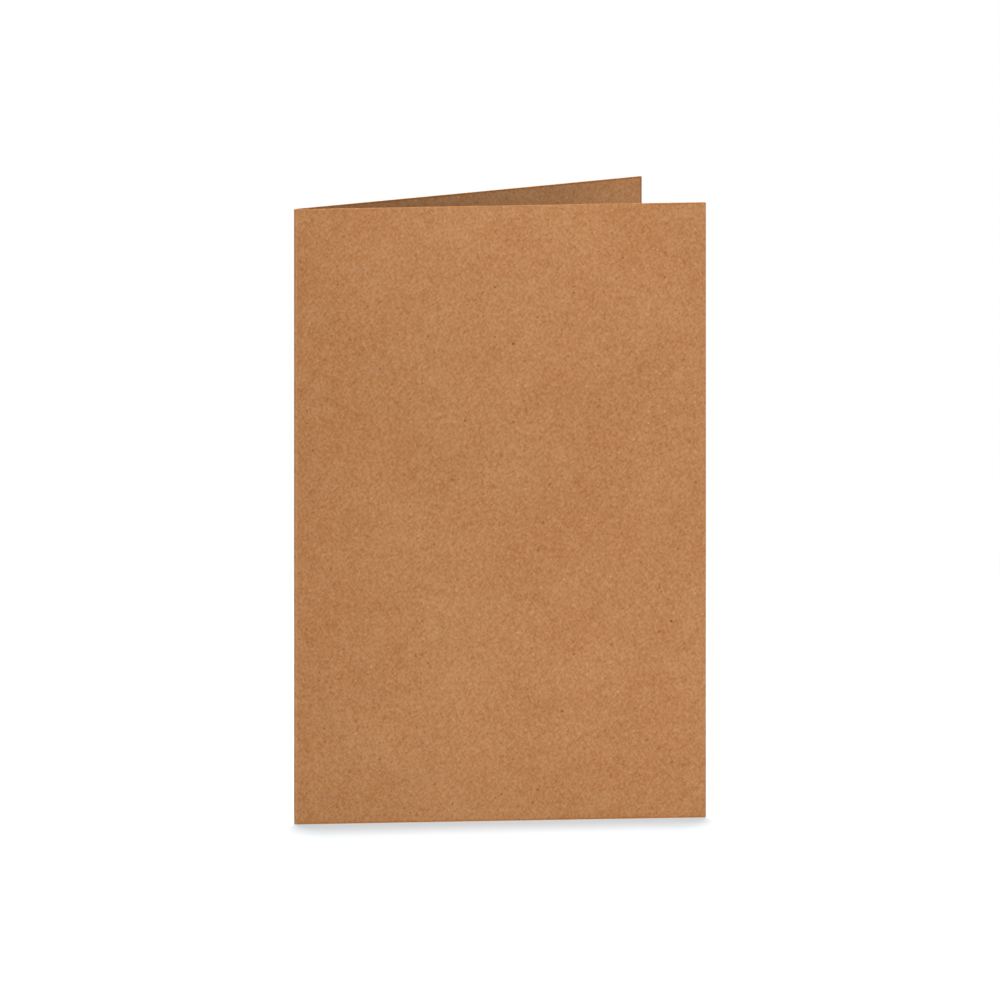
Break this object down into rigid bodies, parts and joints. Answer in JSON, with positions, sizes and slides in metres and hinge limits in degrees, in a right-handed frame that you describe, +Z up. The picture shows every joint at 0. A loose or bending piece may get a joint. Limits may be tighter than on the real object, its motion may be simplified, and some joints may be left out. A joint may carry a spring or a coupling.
{
  "type": "folded card",
  "caption": "Plain kraft greeting card, scored and folded down its middle like a book, standing upright and part open on its lower edges.",
  "frame": {"origin": "on the surface the card stands on, under the middle of the card's box", "axes": "+Z up along the fold, +X from the fold to the open mouth, +Y towards the back leaf; the front leaf is on the -Y side"},
  "size_m": [0.099, 0.047, 0.1524],
  "materials": {
    "kraft_board": "matte uncoated kraft board, finely mottled"
  },
  "bodies": {
    "root": {"folded_card": "kraft_board"}
  },
  "joints": []
}
